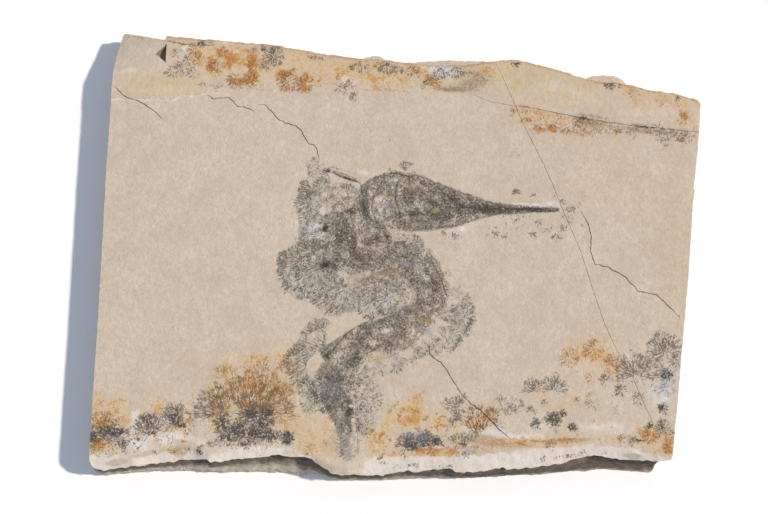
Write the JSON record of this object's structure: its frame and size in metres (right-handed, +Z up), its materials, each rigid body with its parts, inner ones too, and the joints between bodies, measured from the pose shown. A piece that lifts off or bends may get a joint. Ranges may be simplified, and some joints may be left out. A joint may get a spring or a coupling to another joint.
{
  "type": "fossil fish slab",
  "caption": "Flat slab of laminated limestone bearing a low-relief long-snouted fossil fish, lying on its underside as a display or reference specimen.",
  "frame": {"origin": "on the flat underside, below the centre of the bounding box", "axes": "+X along the slab's long side towards the fish's snout, +Y across the slab from the broken front edge to the back edge, +Z up out of the fossil-bearing face"},
  "size_m": [0.3068, 0.231, 0.0199],
  "materials": {
    "limestone_slab": "natural matte laminated limestone, beige, with flat dark and ochre mineral branching drawn on it",
    "fish_skull": "dark brown-grey fossil bone, matte and mottled with stone",
    "fish_trunk": "brown-grey fossil scales, matte and mottled with stone",
    "fin_spine": "near-black fossil bone, matte"
  },
  "bodies": {
    "root": {"limestone_slab": "limestone_slab", "fish_skull": "fish_skull", "fish_trunk": "fish_trunk", "fin_spine": "fin_spine"}
  },
  "joints": []
}
